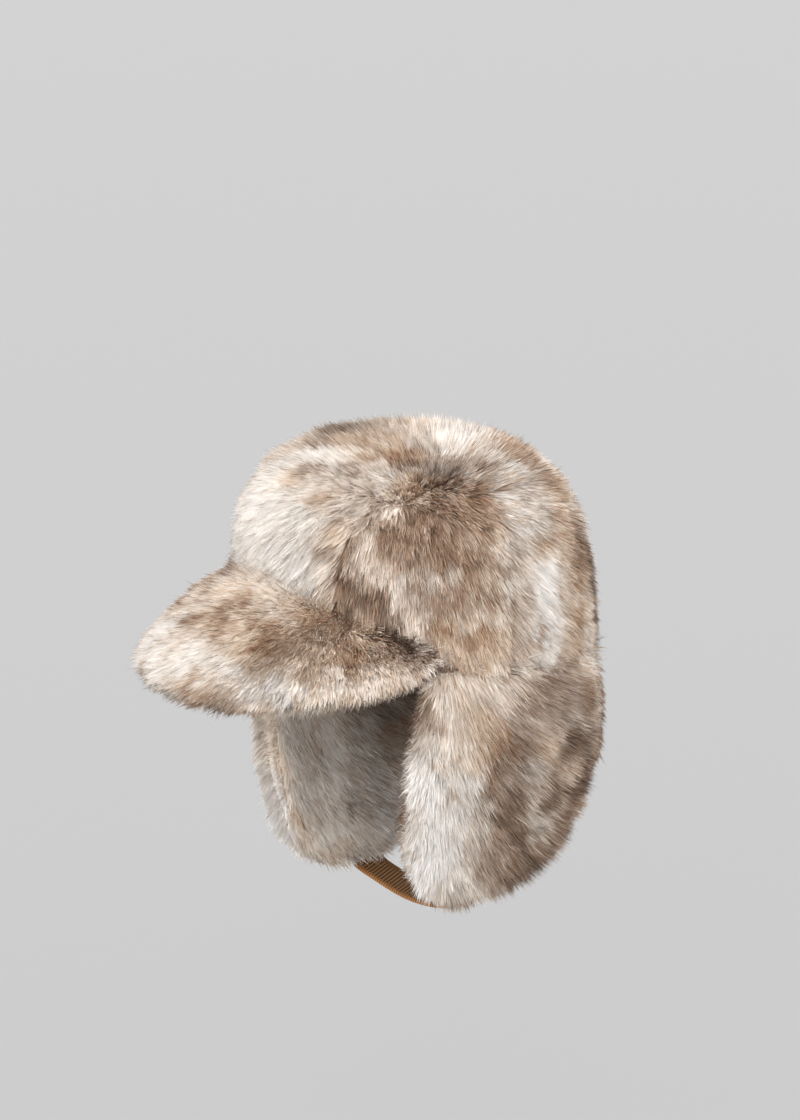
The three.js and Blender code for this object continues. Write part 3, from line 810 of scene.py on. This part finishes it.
# A hair's root is painted darker: painted shade deep in the pile.
ROOT_SHADE_CONTRAST = 0.9
ROOT_PAINTED_SHADE = 0.12
MIDDLE_DARKER = 0.01
TIP_LIGHTER = 0.02
GUARD_TIP_DARKER = (0.1, 0.5)
DARKNESS_LIMITS = (0.01, 0.99)
WARMTH_LIMITS = (0.03, 0.97)


def dye_of(pelt, root, chord, guard, clumps, wisps, rng):
    """How dark each hair is at its root, middle and tip, and how warm."""
    count = len(root)
    moved = root + rng.normal(0, HAIR_SHIFT, (count, 3))
    moved = moved + rng.normal(0, CLUMP_SHIFT, (clumps["count"], 3))[clumps["nearest"]]
    tone = dye_at(moved + SHOWS_AT * chord, pelt["node"], pelt["mottle"])
    own_darkness = rng.normal(0, HAIR_DARKNESS, count)
    tone[:, 0] += own_darkness + rng.normal(0, WISP_DARKNESS, wisps["count"])[wisps["nearest"]]
    tone[:, 1] += rng.normal(0, HAIR_WARMTH, count)
    dark = np.stack([
        tone[:, 0] * ROOT_SHADE_CONTRAST + ROOT_PAINTED_SHADE,
        tone[:, 0] + MIDDLE_DARKER,
        tone[:, 0] - TIP_LIGHTER + guard[:, 0] * rng.uniform(*GUARD_TIP_DARKER, count),
    ], axis=1).clip(*DARKNESS_LIMITS)
    return dark, np.repeat(tone[:, 1:2], 3, axis=1).clip(*WARMTH_LIMITS)


# %% [markdown]
# Growing puts these steps together for one pelt. Its random numbers come from a seed of its own, so a
# change to one pelt leaves the others as they are.

# %% Growing
HAIRS_PER_MM2 = 2.42
MOST_HAIRS = 92000
HAIR_STRAY = 0.18
LENGTH_SPREAD = 0.16
HAIR_LENGTHS = (0.5, 1.4)
GUARD_HAIRS = 0.2
GUARD_LONGER = 1.12
WISP_SPACING = 3.2 * MM
WISP_SPREAD = 0.12
WISP_PULL = (0.10, 0.55)
CLUMP_SPACING = 9 * MM
CLUMP_SPREAD = 0.14
CLUMP_PULL = (0.0, 0.22)
RIM_LOOSER = 0.6
MIDDLE_SHARE = 0.5
BEND = 0.16


def grow(pelt, seed):
    """The hairs of a pelt: root, middle and tip places, root normals, and the dye of each of the three."""
    rng = np.random.default_rng(seed)
    skin = skin_of(bodies[pelt["node"]], nodes[pelt["backing"]], "flap" in pelt["node"])
    if "over_rim" in pelt:
        skin = [np.concatenate(both) for both in zip(skin, rim_of(nodes[pelt["backing"]]))]
    area = skin[2].sum() / MM**2
    count = int(min(MOST_HAIRS, area * HAIRS_PER_MM2 * pelt.get("density", 1.0)))
    root, normal, on_rim = scatter(skin, count, rng)
    start, end = combed(root, normal, on_rim, pelt, rng, HAIR_STRAY)
    length = pelt["length"] * MM * rng.normal(1.0, LENGTH_SPREAD, (count, 1)).clip(*HAIR_LENGTHS)
    guard = rng.random((count, 1)) < GUARD_HAIRS
    length = np.where(guard, length * GUARD_LONGER, length)
    clumps = leaders(pelt, skin, CLUMP_SPACING, CLUMP_SPREAD, root, rng)
    wisps = leaders(pelt, skin, WISP_SPACING, WISP_SPREAD, root, rng)

    tip = tip_of(root, length, start, end)
    wisp_pull = rng.uniform(*WISP_PULL, (count, 1)) * (1 - RIM_LOOSER * on_rim)
    clump_pull = rng.uniform(*CLUMP_PULL, (count, 1)) * (1 - on_rim)
    tip = tip + wisp_pull * (wisps["tip"] - tip)
    tip = tip + clump_pull * (clumps["tip"] - tip)
    tip = sheared(root, tip, allowed_out(pelt, root, normal, on_rim, guard, rng))
    chord = tip - root
    size = np.linalg.norm(chord, axis=1, keepdims=True)
    middle = root + MIDDLE_SHARE * chord + BEND * size * (start - unit(chord))
    dark, warm_numbers = dye_of(pelt, root, chord, guard, clumps, wisps, rng)
    return {"root": root, "middle": middle, "tip": tip, "normal": normal,
            "darkness": dark, "warmth": warm_numbers, "count": count}


# %% [markdown]
# A blade lit by its own flat side glitters like straw, while real hairs are round and let light through.
# So each blade is shaded mostly with the pelt's own normal, which makes the pile look soft and full.

# %% Blades and body as one mesh
PELT_SHADING = 0.75
BLADE_WIDTH = 0.48 * MM
BLADE_WIDTHS = (0.7, 1.15)
BLADE_TURN = 0.7
MIDDLE_WIDTH = 0.45
MAP_EDGE = 0.012
# The underfur is painted darker than the hair: painted shade at the bottom of the pile.
UNDERFUR_SHADE_CONTRAST = 0.9
UNDERFUR_PAINTED_SHADE = 0.14
UNDERFUR_LIMITS = (0.02, 0.98)
CROWN_MOTTLE = 510
MOTTLE_STEP = 10
FIRST_SEED = 10
BLADE_SEED = 77


def blades(hair, rng):
    """The hairs' vertices, dye numbers and normals, four to a hair: root pair, tip and middle."""
    along = unit(hair["tip"] - hair["root"])
    side = unit(np.cross(along, hair["normal"]))
    turn = rng.uniform(-BLADE_TURN, BLADE_TURN, (hair["count"], 1))
    side = side * np.cos(turn) + np.cross(along, side) * np.sin(turn)
    own_normal = np.cross(side, along)
    soft_normal = unit(hair["normal"] * PELT_SHADING + own_normal * (1 - PELT_SHADING))
    width = BLADE_WIDTH * rng.uniform(*BLADE_WIDTHS, (hair["count"], 1))
    places = np.stack([
        hair["root"] - side * width / 2,
        hair["root"] + side * width / 2,
        hair["tip"],
        hair["middle"] - side * width * MIDDLE_WIDTH,
    ], axis=1)
    # Root pair, tip and middle. On the map a blade has two edges, so that its triangles have an area there.
    part_and_edge = ((0, -MAP_EDGE), (0, MAP_EDGE), (2, MAP_EDGE), (1, -MAP_EDGE))
    dyes = np.stack([np.stack([hair["darkness"][:, part], hair["warmth"][:, part] + edge], axis=1)
                     for part, edge in part_and_edge], axis=1)
    return places, dyes, np.repeat(soft_normal[:, None], 4, axis=1)


def fur_mesh(name, places, dyes, normals, corners):
    """A mesh with a dye map. Its corners are vertex numbers, three for each triangle."""
    triangles = len(corners) // 3
    mesh = bpy.data.meshes.new(name)
    mesh.vertices.add(len(places))
    mesh.vertices.foreach_set("co", places.ravel())
    mesh.loops.add(len(corners))
    mesh.loops.foreach_set("vertex_index", corners.astype(np.int32))
    mesh.polygons.add(triangles)
    mesh.polygons.foreach_set("loop_start", np.arange(0, len(corners), 3).astype(np.int32))
    mesh.update(calc_edges=True)
    layer = mesh.uv_layers.new(name=DYE_MAP)
    layer.uv.foreach_set("vector", dyes[corners].astype(np.float32).ravel())
    mesh.polygons.foreach_set("use_smooth", np.ones(triangles, dtype=bool))
    mesh.normals_split_custom_set_from_vertices(normals)
    mesh.materials.append(fur_material)
    return mesh


def dressed(pelt, seed):
    """Joins a pelt's underfur body and its hairs into one mesh, and returns its number of triangles."""
    body = bodies[pelt["node"]]
    hair = grow(pelt, seed)
    places, dyes, normals = blades(hair, np.random.default_rng(seed + BLADE_SEED))
    skin_corners = triangle_rows(body.data).ravel()
    skin_places = vertex_rows(body.data)
    skin_dyes = dye_at(skin_places, pelt["node"], pelt["mottle"])
    # Painted shade: the underfur is darker than the hair above it.
    skin_dyes[:, 0] = skin_dyes[:, 0] * UNDERFUR_SHADE_CONTRAST + UNDERFUR_PAINTED_SHADE
    first = len(skin_places) + 4 * np.arange(hair["count"])[:, None]
    roots = (first + np.array([[0, 1, 3]])).ravel()
    tips = (first + np.array([[1, 2, 3]])).ravel()
    body.data = fur_mesh(
        body.name,
        np.concatenate([skin_places, places.reshape(-1, 3)]),
        np.concatenate([skin_dyes.clip(*UNDERFUR_LIMITS), dyes.reshape(-1, 2)]),
        np.concatenate([vertex_rows(body.data, "normal"), normals.reshape(-1, 3)]),
        np.concatenate([skin_corners, roots, tips]))
    body.vertex_groups.clear()
    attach(body, "root")
    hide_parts(pelt["node"])
    return len(body.data.polygons)


totals = {}
for number, pelt in enumerate(PELTS):
    pelt["mottle"] = CROWN_MOTTLE if pelt["slot"] == "crown_fur" else CROWN_MOTTLE + MOTTLE_STEP * number
    totals[pelt["node"]] = dressed(pelt, seed=FIRST_SEED + number)
print("triangles:", totals)
print("in all:", sum(totals.values()))

# %% [markdown]
# The lining. Inside the crown, inside the neck flap and under the peak is a smooth brown satin twill.
# The ear flaps have fur on both sides, so only a little of their beige knitted backing shows, at the rims.
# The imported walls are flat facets, so each one is copied, its edges are bevelled so that they stay crisp,
# it is subdivided until it is round, and a slow noise gives it the slight puckers of sewn lining.
# A cloth simulation would sag it away from the head's hollow, and a sewn-in lining hardly moves.

# %% Satin twill
TWILL_SPACING = 0.8 * MM
TWILL_TURN = (0.5, 0.7, 0.6)
TWILL_DEPTH = 0.15 * MM
TWILL_TONES = [(0.25, "#543c2c"), (0.75, "#6a4e3b")]
# The cloudy patches in the lining's colour are painted sheen, the soft bright and dull patches of satin.
SHEEN_CLOUD_SIZE = 18.1818 * MM
SHEEN_CLOUD_SHARE = 0.55
# A wave texture of scale 1 has this many bands in a metre.
BANDS_IN_METRE = 20 / (2 * math.pi)

lining_material, lining_shader = new_material(
    "brown_satin_twill", Roughness=0.42, Specular_IOR_Level=0.45, Sheen_Weight=0.25, Sheen_Roughness=0.4)
place = add_node(lining_material, "ShaderNodeTexCoord").outputs["Object"]
turned = add_node(lining_material, "ShaderNodeMapping", inputs={"Vector": place, "Rotation": TWILL_TURN})
twill = add_node(lining_material, "ShaderNodeTexWave", {"wave_type": "BANDS", "wave_profile": "SIN"},
                 {"Vector": turned.outputs["Vector"], "Scale": 1 / (BANDS_IN_METRE * TWILL_SPACING),
                  "Distortion": 0.6, "Detail": 1.0})
# Painted sheen: a slow noise lightens and darkens the twill in soft patches.
painted_sheen = add_node(lining_material, "ShaderNodeTexNoise",
                inputs={"Vector": place, "Scale": 1 / SHEEN_CLOUD_SIZE, "Detail": 3.0})
mixed = add_node(lining_material, "ShaderNodeMix", {"data_type": "FLOAT"},
                 {0: SHEEN_CLOUD_SHARE, 2: twill.outputs["Fac"], 3: painted_sheen.outputs["Fac"]})
twill_ramp = add_node(lining_material, "ShaderNodeValToRGB", inputs={"Fac": mixed.outputs[0]})
lining_colour = ramp_through(twill_ramp, TWILL_TONES)
lining_material.node_tree.links.new(lining_colour, lining_shader.inputs["Base Color"])
twill_bump = add_node(lining_material, "ShaderNodeBump",
                      inputs={"Height": twill.outputs["Fac"], "Strength": 0.35, "Distance": TWILL_DEPTH})
lining_material.node_tree.links.new(twill_bump.outputs["Normal"], lining_shader.inputs["Normal"])
print(lining_material.name, "with a rib every", TWILL_SPACING / MM, "mm")

# %% Knitted backing
KNIT_SIZE = 1.42857 * MM
KNIT_TONES = [(0.3, "#a08e7e"), (0.7, "#c8b8a6")]


def speckled(name, size, tones, **constants):
    """A material whose colour is a fine noise of this size through a ramp of tones."""
    material, shader = new_material(name, **constants)
    place = add_node(material, "ShaderNodeTexCoord").outputs["Object"]
    noise = add_node(material, "ShaderNodeTexNoise",
                     inputs={"Vector": place, "Scale": 1 / size, "Detail": 2.0})
    ramp = add_node(material, "ShaderNodeValToRGB", inputs={"Fac": noise.outputs["Fac"]})
    material.node_tree.links.new(ramp_through(ramp, tones), shader.inputs["Base Color"])
    return material


backing_material = speckled(
    "beige_knit_backing", KNIT_SIZE, KNIT_TONES, Roughness=0.95, Specular_IOR_Level=0.1)
print(backing_material.name, "with loops of", round(KNIT_SIZE / MM, 1), "mm")

# %% Lining pieces
EDGE_ROUND = 0.8 * MM
EDGE_ANGLE = math.radians(50)
PUCKER = 0.7 * MM
PUCKER_CELL = 17 * MM
HOLLOW_CENTRE = np.array([0, 0, -0.11])
FIRST_CLOTH_SEED = 71
CLOTHS = [
    ("crown_lining", lining_material),
    ("ear_flap_left_wall", backing_material),
    ("ear_flap_right_wall", backing_material),
    ("neck_flap_wall", lining_material),
    ("peak_board", lining_material),
]

for number, (node, cloth_material) in enumerate(CLOTHS):
    cloth = merged_copy(node, node.replace("_lining", "") + "_cloth")
    apply_modifier(cloth, "BEVEL", width=EDGE_ROUND, segments=2, limit_method="ANGLE", angle_limit=EDGE_ANGLE)
    apply_modifier(cloth, "SUBSURF", levels=1, render_levels=1)
    places = vertex_rows(cloth.data)
    pucker = lattice_noise(places, PUCKER_CELL, FIRST_CLOTH_SEED + number) - 0.5
    places += unit(places - HOLLOW_CENTRE) * (PUCKER * pucker)[:, None]
    move_vertices(cloth.data, places)
    select_only(cloth)
    bpy.ops.object.shade_smooth()
    cloth.data.materials.clear()
    cloth.data.materials.append(cloth_material)
    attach(cloth, "root")
    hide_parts(node)
    print(cloth.name, len(cloth.data.polygons), "faces")

# %% [markdown]
# The chin strap is a woven band of brown ribbed webbing with a lighter rolled and overstitched edge.
# Its ribs lie aslant, so they are modelled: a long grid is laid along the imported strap's own middle line,
# Solidify gives it two faces, and then both faces are raised into ribs, and into beads along the edges.
# A bump map would look as good from afar, but at the edge the beads have to show against the background.

# %% The strap's middle line
STRAP_SECTIONS = 380
STRAP_COLUMNS = 20
STRAP_HALF_WIDTH = 12.0 * MM
STRAP_HALF_THICK = 1.1 * MM
FLAT_HALF_THICK = 0.85 * MM
ROLL_HALF_THICK = 1.35 * MM
ROLL_HALF_WIDTH = 1.8 * MM
RIB_SPACING = 2.9 * MM
RIB_SLANT = 0.45
RIB_HEIGHT = 0.55 * MM
BEAD_SPACING = 2.2 * MM
BEAD_DEPTH = 0.45
BEAD_SLANT = 0.6
LEAST_ROUND = 0.02
THINNEST = 0.15 * MM
FLAT_TONES = [(0.15, "#1d1209"), (0.85, "#74502b")]
ROLL_TONES = [(0.15, "#3a1f0c"), (0.85, "#94663a")]
HANG_CENTRE = np.array([0.0, 0.0, -0.235])
SMOOTHING_ROUNDS = 160

strap_corners = np.unique(np.round([v.co for v in nodes["chin_strap"].data.vertices], 6), axis=0)
strap_middle_y = (strap_corners[:, 1].min() + strap_corners[:, 1].max()) / 2
front_side = strap_corners[strap_corners[:, 1] < strap_middle_y]
angles = np.arctan2(front_side[:, 0], -(front_side[:, 2] - HANG_CENTRE[2]))
front_side = front_side[np.argsort(angles)]
middle_line = (front_side[0::2] + front_side[1::2]) / 2
middle_line[:, 1] = strap_middle_y
walked = np.concatenate([[0], np.cumsum(np.linalg.norm(np.diff(middle_line, axis=0), axis=1))])
strap_length = walked[-1]
evenly = np.linspace(0, strap_length, STRAP_SECTIONS + 1)
line = np.stack([np.interp(evenly, walked, middle_line[:, k]) for k in range(3)], axis=1)
for _ in range(SMOOTHING_ROUNDS):
    line[1:-1] = (line[:-2] + 2 * line[1:-1] + line[2:]) / 4
along = unit(np.gradient(line, axis=0))
upwards = np.stack([-along[:, 2], np.zeros(len(along)), along[:, 0]], axis=1)
print("strap length", round(strap_length / MM), "mm in", len(middle_line), "packed sections")

# %% The strap's weave
bpy.ops.object.select_all(action="DESELECT")
bpy.ops.mesh.primitive_grid_add(x_subdivisions=STRAP_SECTIONS, y_subdivisions=STRAP_COLUMNS, size=2,
                                calc_uvs=False)
band = bpy.context.object
band.name = "chin_strap_band"
grid = vertex_rows(band.data)
section = np.rint((grid[:, 0] + 1) / 2 * STRAP_SECTIONS).astype(int)
across = grid[:, 1]
move_vertices(band.data, line[section] + np.outer(across, [0, STRAP_HALF_WIDTH, 0]))
apply_modifier(band, "SOLIDIFY", thickness=2 * STRAP_HALF_THICK, offset=0.0)

section = np.tile(section, 2)
across = np.tile(across, 2)
places = vertex_rows(band.data)
side = np.sign(((places - line[section]) * upwards[section]).sum(axis=1))
travelled = section / STRAP_SECTIONS * strap_length
in_roll = (np.abs(across) * STRAP_HALF_WIDTH - (STRAP_HALF_WIDTH - ROLL_HALF_WIDTH)) / ROLL_HALF_WIDTH
rolled = in_roll > -1
bead = 0.5 - 0.5 * np.cos(2 * np.pi * (travelled + BEAD_SLANT * across * STRAP_HALF_WIDTH) / BEAD_SPACING)
round_edge = np.sqrt(np.clip(1 - in_roll**2, LEAST_ROUND, 1)) * ROLL_HALF_THICK
round_edge = np.maximum(round_edge * (1 - BEAD_DEPTH * (1 - bead)), THINNEST)
slanted = travelled + side * RIB_SLANT * across * STRAP_HALF_WIDTH
rib = 0.5 + 0.5 * np.sin(2 * np.pi * slanted / RIB_SPACING)
height = np.where(rolled, round_edge, FLAT_HALF_THICK + RIB_HEIGHT * (rib - 0.5))
places = line[section] + np.outer(across, [0, STRAP_HALF_WIDTH, 0])
move_vertices(band.data, places + upwards[section] * (side * height)[:, None])
# The weave chart is the ribs' and beads' height: darker in the grooves, partly the webbing's own dark ribs
# and partly painted shade.
charts = {"weave": np.where(rolled, bead, rib), "rolled": rolled & (across < 0)}
for name, values in charts.items():
    attribute = band.data.attributes.new(name, "FLOAT", "POINT")
    attribute.data.foreach_set("value", values.astype(np.float32))
bpy.ops.object.mode_set(mode="EDIT")
bpy.ops.mesh.select_all(action="SELECT")
bpy.ops.mesh.normals_make_consistent(inside=False)
bpy.ops.object.mode_set(mode="OBJECT")
bpy.ops.object.shade_smooth()

# %% Ribbed cotton webbing
webbing, webbing_shader = new_material("ribbed_cotton_webbing", Roughness=0.75, Specular_IOR_Level=0.25)
weave = add_node(webbing, "ShaderNodeAttribute", {"attribute_name": "weave"}).outputs["Fac"]
on_roll = add_node(webbing, "ShaderNodeAttribute", {"attribute_name": "rolled"}).outputs["Fac"]
# Darker where the weave is low: partly the ribs' own tone, partly painted shade in the grooves.
flat_colour = ramp_through(add_node(webbing, "ShaderNodeValToRGB", inputs={"Fac": weave}), FLAT_TONES)
roll_colour = ramp_through(add_node(webbing, "ShaderNodeValToRGB", inputs={"Fac": weave}), ROLL_TONES)
webbing_mix = add_node(webbing, "ShaderNodeMix", {"data_type": "RGBA"},
                       {0: on_roll, 6: flat_colour, 7: roll_colour})
webbing.node_tree.links.new(webbing_mix.outputs[2], webbing_shader.inputs["Base Color"])
band.data.materials.append(webbing)
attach(band, "root")
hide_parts("chin_strap")
print("strap triangles", 2 * len(band.data.polygons))

# %% [markdown]
# The clasp is a plain sleeve of dark moulded plastic with a satin skin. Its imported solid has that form,
# so it keeps its own mesh and only gets a material.

# %% Clasp plastic
GRAIN_SIZE = 1.11111 * MM
GRAIN_TONES = [(0.3, "#281c14"), (0.7, "#352518")]

clasp_material = speckled(
    "dark_satin_plastic", GRAIN_SIZE, GRAIN_TONES, Roughness=0.35, Specular_IOR_Level=0.5)
for slot in nodes["strap_clasp"].material_slots:
    slot.material = clasp_material
print(clasp_material.name, "on", len(nodes["strap_clasp"].data.polygons), "faces")
